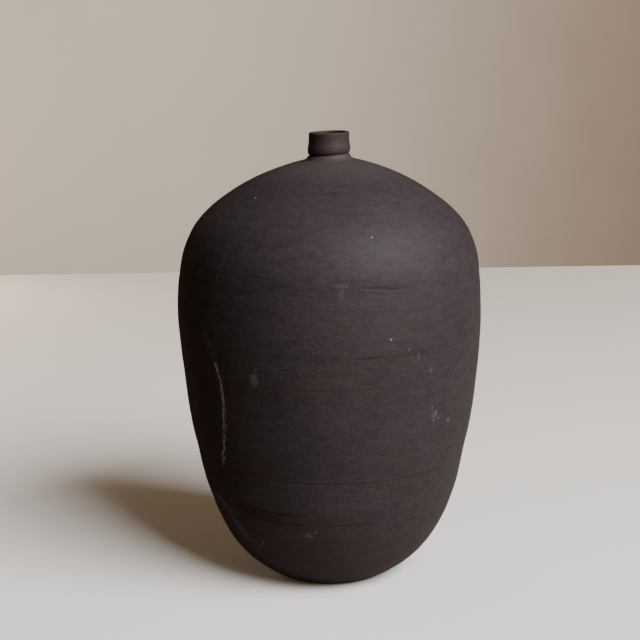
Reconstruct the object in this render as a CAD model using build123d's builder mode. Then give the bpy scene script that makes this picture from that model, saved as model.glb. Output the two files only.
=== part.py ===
from build123d import *
import math
import os

# A black clay vase of the barro negro kind: a tall belly, a closed-in shoulder and a short straight neck.
#
# The wall is raised in sections, as the potter makes it: a bowl with the floor, a belly and a domed
# shoulder. Each joint is a bevel, and the V that it leaves outside is filled with a soft coil of clay.
# The neck is a separate collar, seated in a bevelled opening, with a coil smoothed round its foot.
#
# Everything is round about Z. The origin is the centre of the foot, on the ground, and +Z is up.

# Outline of the outside, in millimetres: radius and height of the places where its arcs join.
foot_radius = 40
foot_flare = 28  # degrees above the ground at which the wall leaves the foot
lower_wall_top = (80.4, 48.2)
belly_top = (100.2, 200.7)
shoulder_top = (72.8, 251)
dome_top = (11, 277.5)

# Wall thickness, from the foot up, and where on the lower arc the curve out of the floor reaches it.
lower_wall_thickness = 8
belly_foot_thickness = 7
belly_head_thickness = 5.5
shoulder_thickness = 5
floor_curve_end = 0.55

# Floor and foot.
floor_height = 9
floor_radius = 32
foot_rounding = 2.5
dish_radius = 30
dish_depth = 1.5

# Joints between the wall sections: radius and height of the root of each V.
lower_seam_root = (86.6, 81.6)
upper_seam_root = (96.4, 205.2)
scarf_reach = 15  # how far a bevel is drawn past its root, well into the hollow
clear = 200  # larger than any section, for the cutting outlines

# Neck.
bore_radius = 10.5
mouth_radius = 11.4
seat_height = 274.6
collar_foot_radius = 13.3
collar_foot_height = 280.1
collar_foot_spread = (0.5, 1)  # direction in which the collar's side leaves its foot
collar_swell = (13.9, 282.4)
collar_waist = (13.45, 287.2)
collar_rim_radius = 13.2
overall_height = 294.6
rim_rounding_outside = 1.1
rim_rounding_inside = 0.8
flare_leaves_dome = 0.91  # how far along the dome's arc the flare round the collar begins


def towards_inside(tangent):
    """The direction across the wall, from the outside to the hollow, beside an outline along tangent."""
    return tangent.rotate(Axis.Z, 90)


def below_seam(root, mode):
    """All of the section under a joint's bevel, which rises outwards at 45 degrees through the root."""
    radius, height = root
    Polygon(
        (0, -clear),
        (clear, -clear),
        (clear, height + clear - radius),
        (radius - scarf_reach, height - scarf_reach),
        (0, height - scarf_reach),
        mode=mode,
    )


def seam_groove(root, mode):
    """The V outside a joint, square at its root, that the seam coil fills."""
    radius, height = root
    Polygon(
        (radius, height),
        (radius + clear, height - clear),
        (radius + clear, height + clear),
        mode=mode,
    )


def mouth_opening(mode):
    """The hole in the dome, with the bevelled seat that widens upwards for the collar."""
    Polygon(
        (0, seat_height - clear / 2),
        (mouth_radius, seat_height - clear / 2),
        (mouth_radius, seat_height),
        (mouth_radius + clear, seat_height + clear),
        (0, seat_height + clear),
        mode=mode,
    )


# The whole wall in section, right of the axis, before it is divided into pieces.
with BuildSketch() as wall_section:
    with BuildLine():
        flare = math.radians(foot_flare)
        lower_arc = TangentArc(
            (foot_radius, 0),
            lower_wall_top,
            tangent=(math.cos(flare), math.sin(flare)),
        )
        belly_arc = TangentArc(lower_arc @ 1, belly_top, tangent=lower_arc % 1)
        shoulder_arc = TangentArc(belly_arc @ 1, shoulder_top, tangent=belly_arc % 1)
        dome_arc = TangentArc(shoulder_arc @ 1, dome_top, tangent=shoulder_arc % 1)
        stations = [
            (lower_arc, floor_curve_end, lower_wall_thickness),
            (lower_arc, 1, belly_foot_thickness),
            (belly_arc, 1, belly_head_thickness),
            (shoulder_arc, 1, shoulder_thickness),
            (dome_arc, 1, shoulder_thickness),
        ]
        inner_points = [
            arc @ at + towards_inside(arc % at) * thickness
            for arc, at, thickness in stations
        ]
        inner_curve = Spline(
            (floor_radius, floor_height),
            *inner_points,
            tangents=[(1, 0), *[arc % at for arc, at, thickness in stations]],
        )
        Line(inner_curve @ 1, dome_arc @ 1)
        Polyline(inner_curve @ 0, (0, floor_height), (0, dish_depth))
        dish = ThreePointArc((0, dish_depth), (dish_radius / 2, dish_depth * 3 / 4), (dish_radius, 0))
        Line(dish @ 1, lower_arc @ 0)
    make_face()
    foot_corner = wall_section.vertices().sort_by_distance((foot_radius, 0))[0]
    fillet(foot_corner, foot_rounding)

# The collar in section.
with BuildSketch() as collar_section:
    with BuildLine():
        Polyline(
            (collar_foot_radius, collar_foot_height),
            (collar_foot_radius, seat_height + collar_foot_radius - mouth_radius),
            (mouth_radius, seat_height),
            (bore_radius, seat_height),
            (bore_radius, overall_height),
            (collar_rim_radius, overall_height),
        )
        Spline(
            (collar_foot_radius, collar_foot_height),
            collar_swell,
            collar_waist,
            (collar_rim_radius, overall_height),
            tangents=[collar_foot_spread, (0, 1)],
        )
    make_face()
    rim_outside = collar_section.vertices().sort_by_distance((collar_rim_radius, overall_height))[0]
    fillet(rim_outside, rim_rounding_outside)
    rim_inside = collar_section.vertices().sort_by_distance((bore_radius, overall_height))[0]
    fillet(rim_inside, rim_rounding_inside)

with BuildPart() as base_bowl:
    with BuildSketch(Plane.XZ):
        add(wall_section.sketch)
        below_seam(lower_seam_root, Mode.INTERSECT)
        seam_groove(lower_seam_root, Mode.SUBTRACT)
    revolve(axis=Axis.Z)
base_bowl.part.label = "base_bowl"

with BuildPart() as lower_seam_coil:
    with BuildSketch(Plane.XZ):
        add(wall_section.sketch)
        seam_groove(lower_seam_root, Mode.INTERSECT)
    revolve(axis=Axis.Z)
lower_seam_coil.part.label = "lower_seam_coil"

with BuildPart() as belly_wall:
    with BuildSketch(Plane.XZ):
        add(wall_section.sketch)
        below_seam(lower_seam_root, Mode.SUBTRACT)
        below_seam(upper_seam_root, Mode.INTERSECT)
        seam_groove(upper_seam_root, Mode.SUBTRACT)
    revolve(axis=Axis.Z)
belly_wall.part.label = "belly_wall"

with BuildPart() as upper_seam_coil:
    with BuildSketch(Plane.XZ):
        add(wall_section.sketch)
        seam_groove(upper_seam_root, Mode.INTERSECT)
    revolve(axis=Axis.Z)
upper_seam_coil.part.label = "upper_seam_coil"

with BuildPart() as shoulder_dome:
    with BuildSketch(Plane.XZ) as dome_section:
        add(wall_section.sketch)
        below_seam(upper_seam_root, Mode.SUBTRACT)
        mouth_opening(Mode.SUBTRACT)
    revolve(axis=Axis.Z)
shoulder_dome.part.label = "shoulder_dome"

with BuildPart() as neck_seam_coil:
    with BuildSketch(Plane.XZ):
        with BuildLine():
            flare_arc = TangentArc(
                dome_arc @ flare_leaves_dome,
                (collar_foot_radius, collar_foot_height),
                tangent=dome_arc % flare_leaves_dome,
            )
            Polyline(flare_arc @ 1, (collar_foot_radius, seat_height), flare_arc @ 0)
        make_face()
        add(dome_section.sketch_local, mode=Mode.SUBTRACT)
    revolve(axis=Axis.Z)
neck_seam_coil.part.label = "neck_seam_coil"

with BuildPart() as neck_collar:
    with BuildSketch(Plane.XZ):
        add(collar_section.sketch)
    revolve(axis=Axis.Z)
neck_collar.part.label = "neck_collar"

# One file for each piece, named after it.
os.makedirs("parts", exist_ok=True)
export_step(base_bowl.part, "parts/base_bowl.step")
export_step(lower_seam_coil.part, "parts/lower_seam_coil.step")
export_step(belly_wall.part, "parts/belly_wall.step")
export_step(upper_seam_coil.part, "parts/upper_seam_coil.step")
export_step(shoulder_dome.part, "parts/shoulder_dome.step")
export_step(neck_seam_coil.part, "parts/neck_seam_coil.step")
export_step(neck_collar.part, "parts/neck_collar.step")
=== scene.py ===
"""The looks of the black clay vase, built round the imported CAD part.

Every CAD piece gets a finer mesh with the same section, whose outside carries what the potter's hands,
the wheel and the tools left on it. One procedural clay material covers them all. Lengths are in metres.
"""

import math

import bmesh
import bpy
import numpy as np
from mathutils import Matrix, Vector


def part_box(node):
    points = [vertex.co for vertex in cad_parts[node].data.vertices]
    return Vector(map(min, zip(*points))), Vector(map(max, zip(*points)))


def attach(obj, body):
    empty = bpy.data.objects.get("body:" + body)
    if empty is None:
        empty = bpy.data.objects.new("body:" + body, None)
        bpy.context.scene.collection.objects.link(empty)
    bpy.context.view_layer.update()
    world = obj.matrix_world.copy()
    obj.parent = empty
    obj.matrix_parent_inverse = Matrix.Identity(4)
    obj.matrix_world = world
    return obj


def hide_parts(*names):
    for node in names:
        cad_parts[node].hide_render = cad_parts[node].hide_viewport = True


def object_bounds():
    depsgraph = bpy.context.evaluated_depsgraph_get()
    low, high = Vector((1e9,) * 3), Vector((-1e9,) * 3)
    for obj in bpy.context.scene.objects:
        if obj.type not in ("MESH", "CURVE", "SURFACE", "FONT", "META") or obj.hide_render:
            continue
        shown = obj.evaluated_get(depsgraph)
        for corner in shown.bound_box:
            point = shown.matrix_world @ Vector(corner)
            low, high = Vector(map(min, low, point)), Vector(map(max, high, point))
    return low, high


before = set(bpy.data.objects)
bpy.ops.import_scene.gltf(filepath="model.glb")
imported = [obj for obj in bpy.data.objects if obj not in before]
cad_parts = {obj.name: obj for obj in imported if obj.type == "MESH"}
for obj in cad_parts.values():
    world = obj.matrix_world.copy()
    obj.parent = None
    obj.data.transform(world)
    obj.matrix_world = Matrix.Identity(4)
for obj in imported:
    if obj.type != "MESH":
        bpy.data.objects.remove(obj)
cad_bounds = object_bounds()

MM = 0.001
BODY = "root"
SLOT = "black_clay"
WALL_NODES = ("base_bowl", "belly_wall", "shoulder_dome")

COLUMNS = 320  # columns of faces round the pot
ROW_STEP = 0.5 * MM  # between rows of the outside
FINE_STEP = 0.1 * MM  # between points of the outline that the rows are taken from
COLLAR_STEP = 0.22 * MM
HIDDEN_STEP = 3 * MM
RING_GAP = 1.2 * MM  # rings of the CAD wall that are closer together than this count as one
SMOOTH_BELOW = math.radians(35)  # faces that meet at less than this are shaded as one surface
# The angle of every column: 0 faces the camera, on -Y, and the angle grows towards +X.
angles = np.radians(np.arange(COLUMNS) * 360 / COLUMNS)
random = np.random.default_rng(11)  # all the unevenness is drawn from this, always in the same order


# ------------------------------------------------------------ the outline, read off the CAD solids


def cad_rings(node):
    """The (radius, height) of every ring of corners on a CAD solid."""
    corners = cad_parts[node].data.vertices
    return {(round(math.hypot(c.co.x, c.co.y), 6), round(c.co.z, 6)) for c in corners}


def outer_chain(points):
    """Those of the (radius, height) points that lie on the outside, which is convex, from the ground up."""
    chain = []
    for radius, height in sorted(points, key=lambda point: (point[1], point[0])):
        while len(chain) > 1:
            (r0, z0), (r1, z1) = chain[-2:]
            if (r1 - r0) * (height - z1) - (z1 - z0) * (radius - r1) > 0:
                break
            chain.pop()
        chain.append((radius, height))
    return chain


def thinned(points, gap):
    """The points without those that crowd closer than gap behind the one before."""
    kept = [points[0]]
    for point in points[1:-1]:
        if math.dist(point, kept[-1]) >= gap and math.dist(point, points[-1]) >= gap:
            kept.append(point)
    return np.array([*kept, points[-1]])


def smooth_line(points, step):
    """A smooth curve through the points, sampled about every step along it."""
    chord = np.hypot(*np.diff(points, axis=0).T)
    reached = np.concatenate([[0], np.cumsum(chord)])
    secant = np.diff(points, axis=0) / chord[:, None]
    before, after = chord[:-1, None], chord[1:, None]
    inner = (secant[:-1] * after + secant[1:] * before) / (before + after)
    slope = np.concatenate([secant[:1], inner, secant[-1:]])
    where = np.linspace(0, reached[-1], round(reached[-1] / step) + 1)
    span = np.clip(np.searchsorted(reached, where, side="right") - 1, 0, len(chord) - 1)
    length = chord[span][:, None]
    t = (where - reached[span])[:, None] / length
    return (
        points[span] * (1 + 2 * t) * (1 - t) ** 2
        + points[span + 1] * (3 - 2 * t) * t**2
        + slope[span] * length * t * (1 - t) ** 2
        - slope[span + 1] * length * t**2 * (1 - t)
    )


def along(line):
    """The distance along a line of points, at each of them."""
    return np.concatenate([[0], np.cumsum(np.hypot(*np.diff(line, axis=0).T))])


rings = outer_chain(set().union(*(cad_rings(node) for node in WALL_NODES)))
wall_line = smooth_line(thinned(rings[1:], RING_GAP), FINE_STEP)
wall_along = along(wall_line)


def at_height(height):
    """How far up along the outside of the wall a height lies."""
    return float(np.interp(height, wall_line[:, 1], wall_along))


def wall_points(where):
    """The (radius, height) of places along the outside of the wall."""
    return np.stack([np.interp(where, wall_along, wall_line[:, k]) for k in (0, 1)], axis=1)


def hollow_line(node, start, end):
    """The inner side of a CAD solid from one of its (radius, height) points to another.

    It is found by rays from a point on the axis, at even tilts.
    """
    eye = (start[1] + end[1]) / 2
    first, last = (math.atan2(height - eye, radius) for radius, height in (start, end))
    steps = round(math.dist(start, end) * math.pi / 2 / HIDDEN_STEP)
    line = [start]
    for tilt in np.linspace(first, last, steps + 1)[1:-1]:
        ray = Vector((math.cos(tilt), 0, math.sin(tilt)))
        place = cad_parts[node].ray_cast(Vector((0, 0, eye)), ray)[1]
        line.append((place.x, place.z))
    return [*line, end]


# Places that the pieces share, from the CAD nodes.
collar_low, collar_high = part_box("neck_collar")
flare_low, flare_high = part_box("neck_seam_coil")
lower_band = [at_height(corner.z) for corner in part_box("lower_seam_coil")]
upper_band = [at_height(corner.z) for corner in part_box("upper_seam_coil")]
flare_edge = at_height(flare_low.z)
flare_low_radius = flare_high.x
dish_radius = rings[0][0]
hollow_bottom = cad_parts["base_bowl"].ray_cast(Vector((0, 0, flare_low.z)), Vector((0, 0, -1)))[1].z
dish_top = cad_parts["base_bowl"].ray_cast(Vector((0, 0, -MM)), Vector((0, 0, 1)))[1].z


def round_centre(point):
    """The direction of a point of the collar's section from its middle, for putting points in order."""
    middle_radius, middle_height = 0.86 * collar_high.x, (collar_low.z + collar_high.z) / 2
    return math.atan2(point[1] - middle_height, point[0] - middle_radius)


collar_section = sorted(cad_rings("neck_collar"), key=round_centre)  # from the bottom of the bore, outwards
bore_bottom, mouth_edge, *_ = collar_section
mouth_low = min(ring for ring in cad_rings("shoulder_dome") if abs(ring[0] - mouth_edge[0]) < MM / 100)
flare_inside = min(cad_rings("neck_seam_coil"))[0]
seat_top = mouth_edge[1] + flare_inside - mouth_edge[0]


def seam_root(node_below, band_top):
    """The (radius, height) of the root of a seam's V, whose upper flank rises outwards at 45 degrees."""
    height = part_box(node_below)[1].z
    radius, top = wall_points([band_top])[0]
    return radius - (top - height), height


def scarf_end(root, node_above):
    """Where the bevel of a seam comes out in the hollow."""
    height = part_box(node_above)[0].z
    return root[0] - (root[1] - height), height


lower_root = seam_root("base_bowl", lower_band[1])
upper_root = seam_root("belly_wall", upper_band[1])
lower_scarf = scarf_end(lower_root, "belly_wall")
upper_scarf = scarf_end(upper_root, "shoulder_dome")


# ------------------------------------------------------------ what hands, wheel and tools left

# Lines that tools and the turning left: height, depth and half-width in mm, the angles between which
# the line shows, and how much red clay it brings up. A negative depth stands proud.
# A hollow line is also painted darker the deeper it is: painted shade.
TOOL_LINES = (
    (85.6, 0.20, 0.50, -180, 180, 0.15),
    (79.1, 0.10, 0.50, -180, 180, 0.10),
    (87.6, 0.11, 1.20, -57, -29, 0.80),
    (83.2, 0.10, 1.00, -52, -31, 0.80),
    (62.4, 0.40, 1.10, -46, -14, 1.00),
    (58.8, 0.16, 1.10, -47, -23, 1.00),
    (61.6, 0.16, 0.50, 68, 151, 0.45),
    (62.4, 0.20, 0.55, 178, 262, 0.50),
    (59.2, 0.14, 0.45, -9, 17, 0.25),
    (56.6, 0.20, 0.80, -4, 19, 0.90),
    (55.4, 0.28, 0.85, -45, -12, 1.00),
    (55.4, 0.20, 0.55, 96, 214, 0.55),
    (49.8, -0.10, 0.60, -28, -7, 0.00),
    (48.6, 0.12, 0.50, 148, 250, 0.30),
    (201.4, 0.05, 0.50, -70, 96, 0.10),
    (204.6, 0.06, 0.60, 120, 258, 0.10),
    (209.2, 0.45, 0.75, 11, 20, 0.00),
    (208.3, 0.45, 0.75, 19, 27, 0.00),
    (209.9, 0.05, 0.60, -52, 60, 0.05),
    (167.2, 0.20, 0.70, 9, 36, 0.35),
    (171.5, 0.10, 0.55, 131, 204, 0.15),
    (196.5, 0.05, 0.80, -30, 12, 0.30),
    (187.0, 0.04, 0.90, -22, 34, 0.30),
    (147.0, 0.09, 0.50, -19, 21, 0.40),
    (139.0, 0.09, 0.50, 82, 170, 0.30),
    (271.0, 0.00, 3.60, -50, 16, 0.50),
)
# Places where the wall stands proud or hollow all round: height, amount and half-width in mm.
SWELLS = (
    (14, 0.25, 9),
    (37, -0.30, 9),
    (64, 0.45, 9),
    (88, -0.35, 8),
    (80, 0.28, 60),
    (135, -0.32, 13),
    (175, 0.42, 14),
    (206, -0.60, 9),
    (235, 0.45, 8),
    (252, -0.12, 8),
    (264, 0.15, 8),
)
# Where the pot isn't straight: height, how far it stands to the right, and half-width in mm.
LEANS = (
    (188, -1.1, 34),
    (48, 0.8, 30),
    (271, 0.22, 9),
)
# Unevenness from the hands: height of the bumps, and their size up the wall in mm and round it in degrees.
BUMPS = (
    (0.12, 45, 75),
    (0.035, 12, 45),
)
# Ridges that climb with the wheel: height and pitch in mm, and the size of the areas where they are
# stronger, in mm up the wall and in degrees round it.
RIDGES = (
    (0.018, 9.5, 30, 60),
    (0.010, 4.2, 20, 40),
)
TURNING_LINES = 0.008 * MM  # height of the finest lines of the wheel
SMALL_DENTS = 0.010 * MM
FINGER_RINGS, FINGER_PITCH = 0.3 * MM, 15 * MM  # height and pitch of the rings that fingers leave inside
EASE = 1.5 * MM  # how far the worked belly lies inside the CAD outline, which has room for its unevenness
EASE_SPREAD = 0.7  # under 1, the ease stays near its full amount over more of the height
FOOT_FADE = 4 * MM  # below this height the unevenness fades to nothing at the ground
HOLLOW_FADE = 8 * MM  # the finger rings fade out over this length towards a joint
NECK_SHIFT = 1.3 * MM  # the neck sits this far to the left
UNDERCUT = 0.6 * MM  # depth of the groove under the foot of the collar
COLLAR_EASE = 0.12 * MM  # how far the worked collar lies inside the CAD collar
COLLAR_LINE = 12.2 * MM  # height of a fine turned line on the collar, above the collar's lowest point
DARK_EDGE = 0.5 * MM  # half-width of the painted shadow in the undercut where collar and flare meet, on either of them
FLARE_ROWS = 26
FLARE_STIFF = 1.06  # within this many radii of the collar's foot, the flare moves as far as the neck
DISH_ROWS = 26
DISH_RIDGES, DISH_PITCH = 0.09 * MM, 3.2 * MM  # height and pitch of the turning marks under the foot
FOOT_SLOPE, FOOT_DROP = math.tan(math.radians(4.5)), 0.14 * MM  # how the foot of the collar slopes
RIM_SLOPE, RIM_DROP = math.tan(math.radians(2.05)), 0.54 * MM  # and how its rim does
LINE_ROOM = 1.2 * MM  # rows are closer together within about this distance of a tool line
SHOW_FADE = 8  # degrees over which the ends of a tool line fade, or fewer in a shorter line
FULL_DARK = 0.25  # depth in mm at which the painted shade in a tool line is as dark as it gets
CHANNELS = 5
RADIUS, HEIGHT, ALONG, PAINTED_SHADE, RED = range(CHANNELS)  # what every corner of a mesh carries; the fourth is painted shade in the grooves and under the collar


def bump(values, middle, width):
    """1 at the middle, falling off smoothly over about the width."""
    return np.exp(-(((values - middle) / width) ** 2))


def spaced(low, high):
    """Places from low to high along the outside, closer together beside the tool lines."""
    fine = np.linspace(low, high, round((high - low) / (0.05 * MM)) + 1)
    near = np.max([bump(fine, at_height(line[0] * MM), LINE_ROOM) for line in TOOL_LINES], axis=0)
    count = along(np.stack([np.cumsum((1 + near) * (high - low) / len(fine)), 0 * fine], axis=1)) / ROW_STEP
    return np.interp(np.linspace(0, count[-1], math.ceil(count[-1]) + 1), count, fine)


def smoothed(part):
    """Eases a share between 0 and 1 in and out."""
    return part * part * (3 - 2 * part)


def patches(places, cell, arc):
    """Random values between -1 and 1 for places along a surface (rows) and angles round it (columns).

    They change smoothly, over about cell along the surface and about arc degrees round the pot.
    """
    count = max(3, round(360 / arc))
    row = (places - places.min()) / cell
    column = np.arange(COLUMNS) / COLUMNS * count
    values = random.uniform(-1, 1, (int(row.max()) + 2, count))
    below, left = np.floor(row).astype(int), np.floor(column).astype(int)
    up, across = smoothed(row - below)[:, None], smoothed(column - left)
    right = (left + 1) % count
    lower = values[below][:, left] * (1 - across) + values[below][:, right] * across
    upper = values[below + 1][:, left] * (1 - across) + values[below + 1][:, right] * across
    return lower * (1 - up) + upper * up


def spiral(places, pitch):
    """Ridges between -1 and 1 that climb by about pitch with every turn of the wheel."""
    wander = 1.6 * patches(places, 3 * pitch, 120)
    return np.cos(2 * math.pi * places[:, None] / pitch - angles + wander)


def showing(start, end):
    """1 at the angles between start and end, in degrees, fading to 0 outside them."""
    if end - start >= 360:
        return np.ones(COLUMNS)
    half, middle = (end - start) / 2, (start + end) / 2
    away = np.abs((np.degrees(angles) - middle + 180) % 360 - 180)
    return smoothed(np.clip((half - away) / min(SHOW_FADE, half) + 0.5, 0, 1))


def tool_marks(places):
    """How deep the tool lines are at every place and angle, their painted shade, and how red they make the
    clay.
    """
    shape = (len(places), COLUMNS)
    depth, painted_shade, red = np.zeros(shape), np.zeros(shape), np.zeros(shape)
    for height, deep, width, start, end, redness in TOOL_LINES:
        # A redder line strays further, and in shorter waves.
        wander = (0.25 + 0.35 * redness) * patches(places[:1], 1, 40 - 26 * redness)
        middle = at_height(height * MM) + wander * MM
        line = bump(places[:, None], middle, width * MM) * showing(start, end)
        line *= 0.65 + 0.35 * patches(places, 2 * MM, 11)
        # The clay beside it takes some of its red and of its painted shade, but none of its depth.
        halo = bump(places[:, None], middle, 3 * width * MM) * showing(start, end)
        depth += line * deep * MM
        # Painted shade, darker as the line is deeper; a proud line gets none.
        painted_shade += (line + 0.35 * redness * halo) * min(1, max(0, deep) / FULL_DARK)
        red += 0.5 * (line + halo) * redness
    return depth, np.clip(painted_shade, 0, 1), np.clip(red, 0, 1)


def worked_rows(line, places, relief, painted_shade, red):
    """Rows of a surface through the points of a line, moved outwards by the relief."""
    slope = np.gradient(line, places, axis=0)
    slope /= np.hypot(*slope.T)[:, None]
    rows = np.empty((len(places), COLUMNS, CHANNELS))
    rows[:, :, RADIUS] = line[:, :1] + slope[:, 1:] * relief
    rows[:, :, HEIGHT] = line[:, 1:] - slope[:, :1] * relief
    rows[:, :, ALONG] = places[:, None]
    rows[:, :, PAINTED_SHADE] = painted_shade
    rows[:, :, RED] = red
    return rows


def plain_rows(line):
    """Rows through the (radius, height) points of a line that no hand or tool has marked."""
    line = np.array(line, dtype=float)
    rows = np.zeros((len(line), COLUMNS, CHANNELS))
    rows[:, :, RADIUS] = line[:, :1]
    rows[:, :, HEIGHT] = line[:, 1:]
    rows[:, :, ALONG] = along(line)[:, None]
    return rows


def hollow_rows(node, high, low):
    """Rows down the inner side of a CAD solid, with the rings that fingers leave on the inside of a pot."""
    rows = plain_rows(hollow_line(node, high, low))
    places = rows[:, 0, ALONG]
    fade = np.clip(np.minimum(places, places[-1] - places) / HOLLOW_FADE, 0, 1)[:, None]
    rows[:, :, RADIUS] += FINGER_RINGS * fade * spiral(places, FINGER_PITCH)
    return rows


def wall_surface():
    """The rows of the whole outside of the wall, and the number of the row at each joint."""
    joints = [0, *lower_band, *upper_band, flare_edge, wall_along[-1]]
    spans = [spaced(low, high) for low, high in zip(joints, joints[1:])]
    places = np.concatenate([spans[0], *(span[1:] for span in spans[1:])])
    hair = 1e-9  # keeps rounding from taking a joint for the row after its own
    numbers = np.searchsorted(places, np.array(joints) - hair)
    depth, painted_shade, red = tool_marks(places)
    line = wall_points(places)
    heights = line[:, 1:]
    relief = np.zeros((len(places), COLUMNS))
    for amount, cell, arc in BUMPS:
        relief += amount * MM * patches(places, cell * MM, arc)
    for amount, pitch, cell, arc in RIDGES:
        relief += amount * MM * (1 + patches(places, cell * MM, arc)) * spiral(places, pitch * MM)
    turning_lines = (1 + patches(places, 9 * MM, 30)) * patches(places, 1.3 * MM, 24)
    small_dents = patches(places, 1.6 * MM, 4)
    relief += TURNING_LINES * turning_lines + SMALL_DENTS * small_dents
    for height, amount, width in LEANS:
        relief += amount * MM * np.sin(angles) * bump(heights, height * MM, width * MM)
    for height, amount, width in SWELLS:
        relief += amount * MM * bump(heights, height * MM, width * MM)
    relief -= EASE * np.sin(math.pi * np.clip(heights / heights[-1], 0, 1)) ** EASE_SPREAD
    relief *= np.clip(heights / FOOT_FADE, 0, 1)
    relief -= depth
    rows = worked_rows(line, places, relief, painted_shade, red)
    rows[:, :, RADIUS] = np.minimum(rows[:, :, RADIUS], cad_bounds[1].x)
    rows[:, :, HEIGHT] = np.maximum(rows[:, :, HEIGHT], 0)
    return rows, numbers


def collar_surface():
    """The rows of the collar from its foot up over the rim, and its bore."""
    foot = collar_section.index((flare_inside, round(flare_high.z, 6)))
    line = smooth_line(thinned(np.array(collar_section[foot:]), FINE_STEP), COLLAR_STEP)
    places = along(line)
    relief = 0.08 * MM * patches(places, 5 * MM, 70) - COLLAR_EASE
    relief += 0.03 * MM * patches(places, 1.2 * MM, 25)
    relief -= 0.08 * MM * bump(line[:, 1:], collar_low.z + COLLAR_LINE, 0.4 * MM)
    relief *= smoothed(np.clip(places / (1.2 * MM), 0, 1))[:, None]
    # Painted shadow in the undercut at the foot of the collar.
    painted_shade = bump(places, 0, DARK_EDGE)[:, None] + 0 * relief
    rows = worked_rows(line, places, relief, painted_shade, 0.2 + 0 * relief)
    rows[:, :, RADIUS] -= UNDERCUT * bump(places, 0, 0.7 * MM)[:, None]
    bore_radius, bore_top = line[-1]
    bore_heights = np.arange(bore_top, bore_bottom[1], -MM)[1:]
    bore = plain_rows([(bore_radius, height) for height in bore_heights])
    return np.concatenate([rows, bore])


def tangent_arc(start, direction, end, count):
    """Points on the arc that leaves start in a direction and arrives at end."""
    chord = np.subtract(end, start)
    first = math.atan2(direction[1], direction[0])
    turn = math.atan2(chord[1], chord[0]) - first
    share = np.linspace(0, 1, count)
    length = np.hypot(*chord) * np.sin(share * turn) / math.sin(turn)
    heading = first + share * turn
    return np.add(start, length[:, None] * np.stack([np.cos(heading), np.sin(heading)], axis=1))


def flare_surface(edge):
    """The rows of the coil round the foot of the collar, from the dome's row at its edge."""
    before, start = wall_points([flare_edge - MM, flare_edge])
    line = tangent_arc(start, start - before, (flare_inside, flare_high.z), FLARE_ROWS)
    places = flare_edge + along(line)
    share = np.linspace(0, 1, len(line))[:, None]
    relief = 0.10 * MM * patches(places, 3 * MM, 40) * np.sin(math.pi * share)
    left = (places[-1] - places)[:, None]
    # Painted shadow in the undercut where the flare meets the collar.
    painted_shade = bump(left, 0, DARK_EDGE) + 0 * relief
    rows = worked_rows(line, places, relief, painted_shade, 0.3 * share + 0 * relief)
    rows[:, :, RADIUS] -= UNDERCUT * bump(left, 0, 0.6 * MM)
    rows[:, :, [RADIUS, HEIGHT]] += (edge - rows[0])[:, [RADIUS, HEIGHT]] * (1 - share[:, :, None])
    return rows


def set_neck(x, y, z):
    """Moves the neck to one side and tilts it. What is near it moves along, so that the pieces still meet."""
    radius = np.hypot(x, y)
    stiff_radius = FLARE_STIFF * flare_inside
    share = np.clip((flare_low_radius - radius) / (flare_low_radius - stiff_radius), 0, 1)
    x = x - NECK_SHIFT * smoothed(share) * (z > mouth_low[1] - MM)
    joined = np.clip((z - seat_top) / (flare_high.z - seat_top), 0, 1)
    up = np.clip((z - flare_high.z) / (collar_high.z - flare_high.z), 0, 1)
    slope = FOOT_SLOPE + up * (RIM_SLOPE - FOOT_SLOPE)
    drop = FOOT_DROP + up * (RIM_DROP - FOOT_DROP)
    return x, z + joined * ((x + NECK_SHIFT) * slope - drop)


# ------------------------------------------------------------ the pieces


def revolved(name, node, rows, closed):
    """A piece of clay made of rows round the axis, which stands for a CAD node.

    The rows go round the section, up on the outside and down on the inside. A closed section ends where
    it began; any other one starts and ends on the axis.
    """
    x = rows[:, :, RADIUS] * np.sin(angles)
    y = -rows[:, :, RADIUS] * np.cos(angles)
    x, z = set_neck(x, y, rows[:, :, HEIGHT])
    number = np.arange(x.size).reshape(x.shape)
    low, high = (number, np.roll(number, -1, 0)) if closed else (number[:-1], number[1:])
    faces = np.stack([low, np.roll(low, -1, 1), np.roll(high, -1, 1), high], axis=-1)
    mesh = bpy.data.meshes.new(name)
    mesh.from_pydata(np.stack([x, y, z], axis=-1).reshape(-1, 3), [], faces.reshape(-1, 4))
    for attribute, channel in (("along", ALONG), ("painted_shade", PAINTED_SHADE), ("red", RED)):
        values = mesh.attributes.new(attribute, "FLOAT", "POINT").data
        values.foreach_set("value", rows[:, :, channel].astype(np.float32).ravel())
    if not closed:
        form = bmesh.new()
        form.from_mesh(mesh)
        bmesh.ops.remove_doubles(form, verts=form.verts, dist=MM / 1000)
        form.to_mesh(mesh)
        form.free()
    mesh.shade_smooth()
    mesh.set_sharp_from_angle(angle=SMOOTH_BELOW)
    mesh.materials.append(clay)
    piece = bpy.data.objects.new(name, mesh)
    bpy.context.scene.collection.objects.link(piece)
    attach(piece, BODY)
    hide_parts(node)


# ------------------------------------------------------------ clay


# The colour sockets of a mix node, which has others for numbers and vectors.
MIX_SHARE, MIX_FIRST, MIX_SECOND, MIX_RESULT = 0, 6, 7, 2


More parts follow.
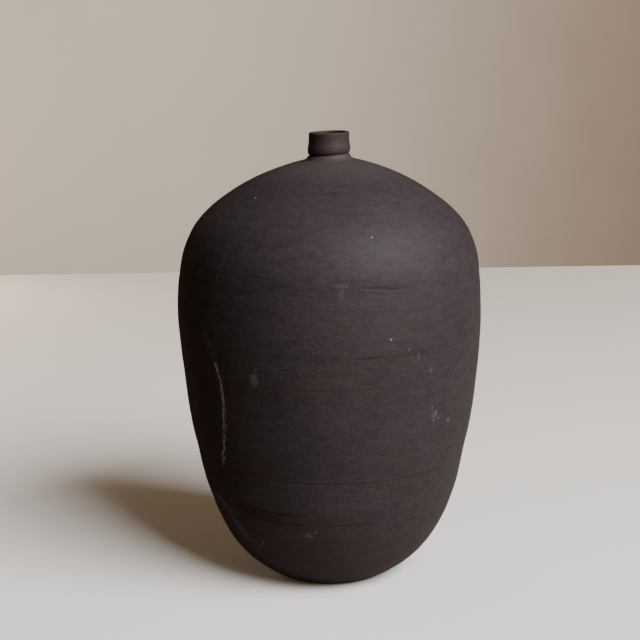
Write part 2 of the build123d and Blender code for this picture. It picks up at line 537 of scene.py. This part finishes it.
class Shader:
    """Short calls for adding nodes to one material."""

    def __init__(self, owner):
        self.owner = owner
        owner.use_nodes = True
        self.tree = owner.node_tree
        self.tree.nodes.clear()

    def add(self, kind, values=None, **settings):
        """A node with settings, whose inputs are given a number, a colour, or the output of another node."""
        node = self.tree.nodes.new(kind)
        for name, value in settings.items():
            setattr(node, name, value)
        for key, value in (values or {}).items():
            if isinstance(value, bpy.types.NodeSocket):
                self.tree.links.new(value, node.inputs[key])
            else:
                node.inputs[key].default_value = value
        return node

    def math(self, operation, *values, clamp=False):
        """The number that an arithmetic node makes of the values."""
        node = self.add("ShaderNodeMath", dict(enumerate(values)), operation=operation, use_clamp=clamp)
        return node.outputs[0]

    def vector(self, operation, *values):
        """The vector that an arithmetic node for vectors makes of the values."""
        return self.add("ShaderNodeVectorMath", dict(enumerate(values)), operation=operation).outputs[0]

    def total(self, *terms):
        """The sum of pairs of a value and its weight, each value times its weight."""
        result = None
        for value, weight in terms:
            part = self.math("MULTIPLY", value, weight)
            result = part if result is None else self.math("ADD", result, part)
        return result

    def noise(self, place, cell, detail=2.0, roughness=0.5):
        """Noise between -1 and 1 that changes over about one cell, a length or a length for each axis."""
        lengths = cell if isinstance(cell, tuple) else (cell, cell, cell)
        scaled = self.vector("DIVIDE", place, lengths)
        values = {"Vector": scaled, "Scale": 1.0, "Detail": detail, "Roughness": roughness}
        found = self.add("ShaderNodeTexNoise", values).outputs["Fac"]
        return self.math("MULTIPLY_ADD", found, 2.0, -1.0)

    def step(self, value, low, high, to_low=0.0, to_high=1.0):
        """Goes smoothly from to_low to to_high as value goes from low to high."""
        values = {"Value": value, "From Min": low, "From Max": high, "To Min": to_low, "To Max": to_high}
        return self.add("ShaderNodeMapRange", values, interpolation_type="SMOOTHSTEP").outputs["Result"]

    def mix(self, share, first, second):
        """A colour between two colours, the first at a share of 0 and the second at a share of 1."""
        values = {MIX_SHARE: share, MIX_FIRST: first, MIX_SECOND: second}
        return self.add("ShaderNodeMix", values, data_type="RGBA").outputs[MIX_RESULT]


def rgb(red, green, blue):
    """A colour in linear light."""
    return (red, green, blue, 1.0)


# The (angle, height) places along the longest scratch, in degrees and mm.
LONG_SCRATCH = ((-50, 88), (-46, 97), (-45.6, 110), (-44.6, 122), (-44, 137), (-44.8, 150), (-46.2, 160))
# Chalky scratches: width in mm, how strong they are, how full of gaps, and the places along each.
SCRATCHES = (
    (1.05, 0.85, 0.0, LONG_SCRATCH),
    (0.55, 0.60, 0.0, ((-50.6, 87), (-49.6, 92), (-48.4, 98), (-46.0, 104))),
    (0.50, 0.45, 0.2, ((-45.4, 108), (-43.2, 117), (-42.9, 125), (-44.2, 133))),
    (1.30, 0.42, 0.25, ((-46.0, 160), (-47.6, 165), (-49.4, 170), (-50.4, 177))),
    (1.5, 0.13, 0.3, ((-46.5, 206), (-44.3, 222), (-43.9, 231), (-44.6, 240), (-47.2, 250))),
    (6.5, 0.21, 0.1, ((-45.5, 33), (-49.5, 43), (-54.5, 53), (-61.0, 64))),
    (0.4, 0.32, 0.0, ((-49.2, 28), (-42.9, 29), (-37.0, 34.5), (-34.2, 39.5))),
    (1.6, 0.22, 0.2, ((-66, 114), (-63.5, 122), (-64.5, 131), (-66.5, 140))),
    (0.5, 0.45, 0.0, ((148, 118), (152, 140), (151, 158), (155, 171))),
    (1.8, 0.20, 0.1, ((-128, 52), (-124, 62), (-121, 74))),
    (0.6, 0.25, 0.2, ((96, 205), (99, 218), (98, 229))),
)
# Chalky spots: angle in degrees, height, half-width and half-height in mm, and strength.
SPOTS = (
    (-28.5, 151.5, 3.6, 5.2, 0.15),
    (-27.6, 158.0, 1.4, 2.6, 0.08),
    (20.8, 178.1, 0.9, 0.9, 0.60),
    (-48.0, 257.2, 0.8, 0.8, 0.60),
    (16.0, 238.4, 0.8, 0.8, 0.50),
    (3.0, 211.5, 4.6, 1.5, 0.07),
    (3.3, 206.3, 2.0, 4.0, 0.045),
    (41.4, 125.4, 3.2, 4.6, 0.05),
    (40.2, 130.2, 1.4, 0.8, 0.15),
    (42.6, 126.0, 0.7, 2.2, 0.18),
    (43.9, 122.4, 1.5, 0.8, 0.16),
    (41.6, 121.2, 0.8, 1.2, 0.22),
    (50.3, 118.8, 1.8, 1.8, 0.12),
    (-10.3, 48.2, 3.2, 2.6, 0.12),
    (-7.0, 50.6, 0.8, 0.8, 0.35),
    (32.0, 166.0, 1.5, 3.4, 0.05),
    (38.0, 155.6, 2.0, 2.8, 0.05),
    (28.0, 171.0, 0.8, 0.8, 0.12),
    (118.0, 142.0, 2.2, 3.2, 0.16),
    (-122.0, 96.0, 1.6, 1.4, 0.22),
    (171.0, 226.0, 0.8, 0.8, 0.55),
    (-140.0, 203.0, 4.0, 1.2, 0.10),
    (98.0, 61.0, 2.2, 1.5, 0.18),
    (-97.0, 172.0, 1.2, 3.0, 0.12),
    (-160.0, 128.0, 0.8, 0.8, 0.55),
    (141.0, 84.0, 0.9, 1.1, 0.35),
)

# Colours of the clay and of what lies on it, of the painted shade in its grooves, and of the painted light on
# the top of the dome.
DARK_CLAY = rgb(0.0160, 0.0116, 0.0121)
LIGHT_CLAY = rgb(0.0378, 0.0276, 0.0299)
RED_CLAY = rgb(0.040, 0.0215, 0.0175)
PAINTED_SHADE_COLOUR = rgb(0.011, 0.0072, 0.0066)
PAINTED_TOP_LIGHT = rgb(0.060, 0.048, 0.048)
CHALK = rgb(0.34, 0.30, 0.27)
ROUGHNESS = 0.66
SHINE = 0.22
GRAIN_DEPTH = 0.045 * MM  # how deep the grain of the clay looks
DRUM_RADIUS = 100 * MM
SCRATCH_WANDER = 2.6 * MM  # how far a scratch strays at most to either side of its path
SCRATCH_ROOM = 0.01  # radians that the curve of a scratch has to spare on either side
TOP_LIGHT_STARTS, TOP_LIGHT_IS_FULL = 262 * MM, 274 * MM  # heights between which the top of the dome, below the neck, is painted lighter: painted light


def clay_material():
    """Dark fired clay, brown-black, with turning streaks, grain, red tints, chalky marks, painted shade and
    light.
    """
    shader = Shader(bpy.data.materials.new(SLOT))
    place = shader.add("ShaderNodeTexCoord").outputs["Object"]
    across = shader.add("ShaderNodeSeparateXYZ", {"Vector": place}).outputs
    flat = shader.vector("MULTIPLY", place, (1, 1, 0))
    radius = shader.add("ShaderNodeVectorMath", {0: flat}, operation="LENGTH").outputs["Value"]
    angle = shader.math("ARCTAN2", across["X"], shader.math("MULTIPLY", across["Y"], -1.0))
    run = shader.add("ShaderNodeAttribute", attribute_name="along").outputs["Fac"]
    # The painted shade of the grooves and of the undercut, which every corner carries.
    painted_shade = shader.add("ShaderNodeAttribute", attribute_name="painted_shade").outputs["Fac"]
    red = shader.add("ShaderNodeAttribute", attribute_name="red").outputs["Fac"]
    # Places on an upright drum, so that marks which follow them run level round the pot.
    turned = shader.vector(
        "ADD",
        shader.vector("MULTIPLY", shader.vector("NORMALIZE", flat), (DRUM_RADIUS, DRUM_RADIUS, 0)),
        shader.add("ShaderNodeCombineXYZ", {"Z": run}).outputs[0],
    )

    # Unevenness of the colour: clouds and patches, turned bands, streaks and lines, grains and flecks.
    mottle = shader.noise(place, 45 * MM, 3)
    patch = shader.noise(turned, (11 * MM, 11 * MM, 5 * MM), 3, 0.6)
    bands = shader.noise(turned, (110 * MM, 110 * MM, 7 * MM), 2)
    streaks = shader.noise(turned, (11 * MM, 11 * MM, 1.8 * MM), 3, 0.6)
    lines = shader.noise(turned, (5 * MM, 5 * MM, 0.9 * MM), 2, 0.6)
    grain = shader.noise(place, 1.1 * MM, 3, 0.65)
    flecks = shader.noise(turned, (1.9 * MM, 1.9 * MM, 1.2 * MM), 1)
    shade = shader.total(
        (mottle, 0.26),
        (patch, 0.46),
        (bands, 0.07),
        (streaks, 0.32),
        (lines, 0.06),
        (grain, 0.66),
        (flecks, 0.42),
    )
    clay_colour = shader.mix(shader.math("ADD", 0.5, shade, clamp=True), DARK_CLAY, LIGHT_CLAY)

    # Red clay in clouds, along tool lines, low on the wall and on the collar, where the run starts again.
    clouds = shader.math("MULTIPLY", shader.step(shader.noise(place, 38 * MM, 3), 0.05, 0.9), 0.35)
    warm = shader.math("MAXIMUM", shader.math("MULTIPLY", red, 0.9), clouds)
    warm = shader.math("MAXIMUM", warm, shader.step(run, 0.0, 75 * MM, 0.55, 0.0))
    clay_colour = shader.mix(warm, clay_colour, RED_CLAY)
    # Painted light: the top of the dome, below the neck, is made lighter.
    painted_top_light = shader.step(run, at_height(TOP_LIGHT_STARTS), at_height(TOP_LIGHT_IS_FULL), 0.0, 0.40)
    clay_colour = shader.mix(painted_top_light, clay_colour, PAINTED_TOP_LIGHT)
    # Painted shade: darker in the tool lines and in the undercut under the collar.
    clay_colour = shader.mix(shader.math("MULTIPLY", painted_shade, 0.7), clay_colour, PAINTED_SHADE_COLOUR)

    # Fine specks all over, then the marks one by one, each as strong as the strongest that meets it.
    chalk = shader.math("MULTIPLY", shader.step(shader.noise(place, 2.1 * MM, 2), 0.62, 0.8), 0.10)
    for mark in SCRATCHES:
        left_by_it = scratch(shader, place, across["Z"], angle, radius, *mark)
        chalk = shader.math("MAXIMUM", chalk, left_by_it)
    for mark in SPOTS:
        left_by_it = chalk_spot(shader, place, run, angle, radius, *mark)
        chalk = shader.math("MAXIMUM", chalk, left_by_it)
    clay_colour = shader.mix(chalk, clay_colour, CHALK)

    # Chalk and grooves are rougher, and the grain is also felt in the surface.
    rougher = shader.total((streaks, 0.05), (mottle, 0.05), (painted_shade, 0.15), (chalk, 0.3))
    rough = shader.math("ADD", ROUGHNESS, rougher, clamp=True)
    height = shader.total(
        (grain, 0.50),
        (flecks, 0.30),
        (patch, 0.60),
        (lines, 0.22),
        (streaks, 0.2),
        (chalk, 0.6),
    )
    bumps = shader.add("ShaderNodeBump", {"Height": height, "Strength": 1.0, "Distance": GRAIN_DEPTH})
    finish = shader.add(
        "ShaderNodeBsdfPrincipled",
        {
            "Base Color": clay_colour,
            "Roughness": rough,
            "Normal": bumps.outputs[0],
            "Specular IOR Level": SHINE,
        },
    )
    shader.add("ShaderNodeOutputMaterial", {"Surface": finish.outputs[0]})
    return shader.owner


def scratch(shader, place, height, angle, radius, width, strength, gaps, path):
    """How much chalk one scratch leaves. Its angle at each height is read off a curve through its path."""
    turns, heights = [math.radians(turn) for turn, _ in path], [level * MM for _, level in path]
    low, high = min(heights), max(heights)
    left, right = min(turns) - SCRATCH_ROOM, max(turns) + SCRATCH_ROOM
    share = shader.math("DIVIDE", shader.math("SUBTRACT", height, low), high - low)
    curve = shader.add("ShaderNodeFloatCurve", {"Value": share})
    points = curve.mapping.curves[0].points
    for turn, level in zip(turns, heights):
        spot = ((level - low) / (high - low), (turn - left) / (right - left))
        if spot[0] in (0, 1):
            points[round(spot[0])].location = spot
        else:
            points.new(*spot)
    curve.mapping.update()
    middle = shader.math("MULTIPLY_ADD", curve.outputs[0], right - left, left)
    wander = shader.math("MULTIPLY", shader.noise(place, 4.5 * MM, 4, 0.75), SCRATCH_WANDER)
    away = shader.math("ADD", shader.math("MULTIPLY", shader.math("SUBTRACT", angle, middle), radius), wander)
    away = shader.math("ABSOLUTE", away)
    # A line with soft edges and thin dust beside it, which stops at both ends and has gaps.
    line = shader.step(away, 0.35 * width * MM, 1.3 * width * MM, strength, 0.0)
    dust = shader.step(away, 0.5 * width * MM, 3.5 * width * MM, 0.12 * strength, 0.0)
    line = shader.math("MAXIMUM", line, dust)
    inside = shader.math("MULTIPLY", shader.step(share, 0.0, 0.06), shader.step(share, 0.94, 1.0, 1.0, 0.0))
    rubbed = shader.noise(place, 2.6 * MM, 3, 0.7)
    broken = shader.step(rubbed, gaps - 0.35, gaps + 0.25, 0.12 - 0.2 * gaps, 1.0)
    return shader.math("MULTIPLY", shader.math("MULTIPLY", line, inside), broken)


def chalk_spot(shader, place, run, angle, radius, turn, level, wide, tall, strength):
    """How much chalk one spot leaves."""
    turned = shader.math("MULTIPLY", shader.math("SUBTRACT", angle, math.radians(turn)), radius)
    across = shader.math("DIVIDE", turned, wide * MM)
    up = shader.math("DIVIDE", shader.math("SUBTRACT", run, at_height(level * MM)), tall * MM)
    offset = shader.add("ShaderNodeCombineXYZ", {"X": across, "Y": up}).outputs[0]
    away = shader.add("ShaderNodeVectorMath", {0: offset}, operation="LENGTH").outputs["Value"]
    away = shader.math("ADD", away, shader.math("MULTIPLY", shader.noise(place, 1.5 * MM, 3, 0.6), 0.7))
    return shader.step(away, 0.2, 1.2, strength, 0.0)


# ------------------------------------------------------------ the pot

clay = clay_material()
wall, (foot, lower_start, lower_end, upper_start, upper_end, flare, top) = wall_surface()
collar = collar_surface()

# The underside: a dish with turning marks, inside a flat foot ring.
dish_radii = np.linspace(0, dish_radius, DISH_ROWS)
dish = plain_rows([(radius, dish_top * (1 - (radius / dish_radius) ** 2)) for radius in dish_radii])
turning = spiral(dish_radii, DISH_PITCH) + 0.5 * patches(dish_radii, 2 * MM, 60)
dish[:, :, HEIGHT] += DISH_RIDGES * turning * np.sin(math.pi * dish_radii / dish_radius)[:, None]
dish[0, :, HEIGHT] = dish_top
foot_width = wall_line[0][0] - dish_radius
foot_ring = plain_rows([(dish_radius + share * foot_width, 0) for share in (0.35, 0.7)])

flare_coil = flare_surface(wall[flare])
collar_foot = plain_rows([bore_bottom, mouth_edge, (flare_inside, seat_top)])

bowl_hollow = hollow_rows("base_bowl", lower_scarf, (0, hollow_bottom))
belly_hollow = hollow_rows("belly_wall", upper_scarf, lower_scarf)
dome_hollow = hollow_rows("shoulder_dome", mouth_low, upper_scarf)
lower_v, upper_v = plain_rows([lower_root]), plain_rows([upper_root])
seat = plain_rows([mouth_edge])

foot_to_seam = wall[foot : lower_start + 1]
lower_band_rows = wall[lower_start : lower_end + 1]
belly = wall[lower_end : upper_start + 1]
upper_band_rows = wall[upper_start : upper_end + 1]
dome = wall[upper_end : top + 1]
under_flare = wall[top:flare:-1]
flare_root = plain_rows([(flare_inside, seat_top)])

# The name of each piece, the CAD node that it replaces, and its rows in order.
PIECES = (
    ("clay_base_bowl", "base_bowl", [dish, foot_ring, foot_to_seam, lower_v, bowl_hollow]),
    ("clay_lower_seam", "lower_seam_coil", [lower_band_rows, lower_v]),
    ("clay_belly", "belly_wall", [belly, upper_v, belly_hollow, lower_v]),
    ("clay_upper_seam", "upper_seam_coil", [upper_band_rows, upper_v]),
    ("clay_shoulder", "shoulder_dome", [dome, seat, dome_hollow, upper_v]),
    ("clay_neck_seam", "neck_seam_coil", [flare_coil, flare_root, under_flare]),
    ("clay_collar", "neck_collar", [collar_foot, collar]),
)
for piece_name, cad_node, piece_rows in PIECES:
    revolved(piece_name, cad_node, np.concatenate(piece_rows), closed=cad_node != "base_bowl")


# ------------------------------------------------------------ floor, wall, light and camera


def plain_material(name, axis, start, end, first, last, rough, painted_glow=rgb(0, 0, 0)):
    """A painted surface whose colour changes a little along an axis, from first at start to last at end.

    The glow is painted light: an even emission that lifts the surface where no lamp reaches it.
    """
    shader = Shader(bpy.data.materials.new(name))
    place = shader.add("ShaderNodeTexCoord").outputs["Object"]
    along_axis = shader.add("ShaderNodeSeparateXYZ", {"Vector": place}).outputs[axis]
    cloud = shader.math("MULTIPLY", shader.noise(place, 0.09, 4, 0.6), 0.04)
    share = shader.math("ADD", shader.step(along_axis, start, end), cloud)
    colour = shader.mix(share, first, last)
    values = {"Base Color": colour, "Roughness": rough, "Emission Color": painted_glow, "Emission Strength": 1.0}
    finish = shader.add("ShaderNodeBsdfPrincipled", values)
    shader.add("ShaderNodeOutputMaterial", {"Surface": finish.outputs[0]})
    return shader.owner


def sheet(name, corners, material):
    """A flat four-cornered piece of the setting."""
    mesh = bpy.data.meshes.new(name)
    mesh.from_pydata(corners, [], [(0, 1, 2, 3)])
    mesh.materials.append(material)
    piece = bpy.data.objects.new(name, mesh)
    bpy.context.scene.collection.objects.link(piece)
    return piece


def lamp(name, place, target, width, height, energy, colour, shines=True):
    """A soft rectangular light at a place, turned towards a target, that makes highlights if it shines."""
    light = bpy.data.lights.new(name, "AREA")
    light.shape = "RECTANGLE"
    light.size, light.size_y = width, height
    light.energy = energy
    light.color = colour
    thing = bpy.data.objects.new(name, light)
    thing.visible_camera = False
    thing.visible_glossy = shines
    thing.location = place
    thing.rotation_euler = (Vector(target) - Vector(place)).to_track_quat("-Z", "Y").to_euler()
    bpy.context.scene.collection.objects.link(thing)


# The floor's glow is painted light, which lifts the pot's shadow on it.
paint = plain_material(
    "pale_floor",
    axis="Y",
    start=-0.35,
    end=1.0,
    first=rgb(0.88, 0.86, 0.835),
    last=rgb(0.80, 0.72, 0.63),
    rough=0.6,
    painted_glow=rgb(0.022, 0.015, 0.007),
)
# Seen only by the pot: painted shade for the light that the floor throws back, darkest on the left, where the
# floor lies in shade.
bounce_shade_paint = plain_material(
    "dark_floor",
    axis="X",
    start=-0.25,
    end=0.12,
    first=rgb(0.09, 0.055, 0.035),
    last=rgb(0.42, 0.37, 0.34),
    rough=0.9,
)
# The backdrop: a warm wall tone with painted shade, darker towards the right.
wall_tone_and_shade = plain_material(
    "plain_wall",
    axis="X",
    start=-0.35,
    end=0.6,
    first=rgb(0.53, 0.455, 0.365),
    last=rgb(0.17, 0.118, 0.078),
    rough=0.9,
)

SIDE_REACH = 4  # how far floor and backdrop reach to either side
FLOOR_REACH = 3  # and the floor to the front and to the back
BACKDROP_DISTANCE = 1.125
BACKDROP_HEIGHT = 3.5
BACKDROP_SLANT = math.tan(math.radians(5))  # its left end is nearer than its right end
UNDER_FLOOR = 0.2 * MM  # how far the dark sheet lies below the pale floor

floor_corners = [
    (-SIDE_REACH, -FLOOR_REACH, 0),
    (SIDE_REACH, -FLOOR_REACH, 0),
    (SIDE_REACH, FLOOR_REACH, 0),
    (-SIDE_REACH, FLOOR_REACH, 0),
]
left_end = BACKDROP_DISTANCE - SIDE_REACH * BACKDROP_SLANT
right_end = BACKDROP_DISTANCE + SIDE_REACH * BACKDROP_SLANT
backdrop_corners = [
    (-SIDE_REACH, left_end, 0),
    (SIDE_REACH, right_end, 0),
    (SIDE_REACH, right_end, BACKDROP_HEIGHT),
    (-SIDE_REACH, left_end, BACKDROP_HEIGHT),
]
ground = sheet("floor", floor_corners, paint)
bounce_floor = sheet("floor_under", [(x, y, -UNDER_FLOOR) for x, y, _ in floor_corners], bounce_shade_paint)
backdrop = sheet("backdrop", backdrop_corners, wall_tone_and_shade)
for surface in (ground, backdrop):  # the camera sees these, and the pot sees the darker floor under them, whose darkness is painted shade
    surface.visible_diffuse = False
    surface.visible_glossy = False
ground.visible_shadow = False
bounce_floor.visible_camera = False

# A large window high on the right, in front, and a faint low light from behind on the left.
lamp(
    "window",
    place=(1.97, -1.76, 2.40),
    target=(-0.05, 0.05, 0.13),
    width=2.5,
    height=1.75,
    energy=306,
    colour=(1.0, 0.99, 1.0),
)
lamp(
    "rear_light",
    place=(-0.78, 0.92, 0.20),
    target=(0, 0, 0.15),
    width=0.7,
    height=0.3,
    energy=6,
    colour=(1.0, 0.80, 0.60),
    shines=False,
)

ROOM_LIGHT, ROOM_STRENGTH = rgb(1.0, 0.65, 0.42), 0.06
room = bpy.data.worlds.new("room")
room.use_nodes = True
background = room.node_tree.nodes["Background"].inputs
background["Color"].default_value = ROOM_LIGHT
background["Strength"].default_value = ROOM_STRENGTH
bpy.context.scene.world = room

CAMERA_LENS = 78.0  # mm
CAMERA_PLACE = (-0.0071, -0.899, 0.366)
CAMERA_PITCH = 12.31  # degrees below level
lens = bpy.data.cameras.new("camera")
lens.lens = CAMERA_LENS
camera = bpy.data.objects.new("camera", lens)
camera.location = CAMERA_PLACE
camera.rotation_euler = (math.radians(90 - CAMERA_PITCH), 0, 0)
bpy.context.scene.collection.objects.link(camera)
bpy.context.scene.camera = camera
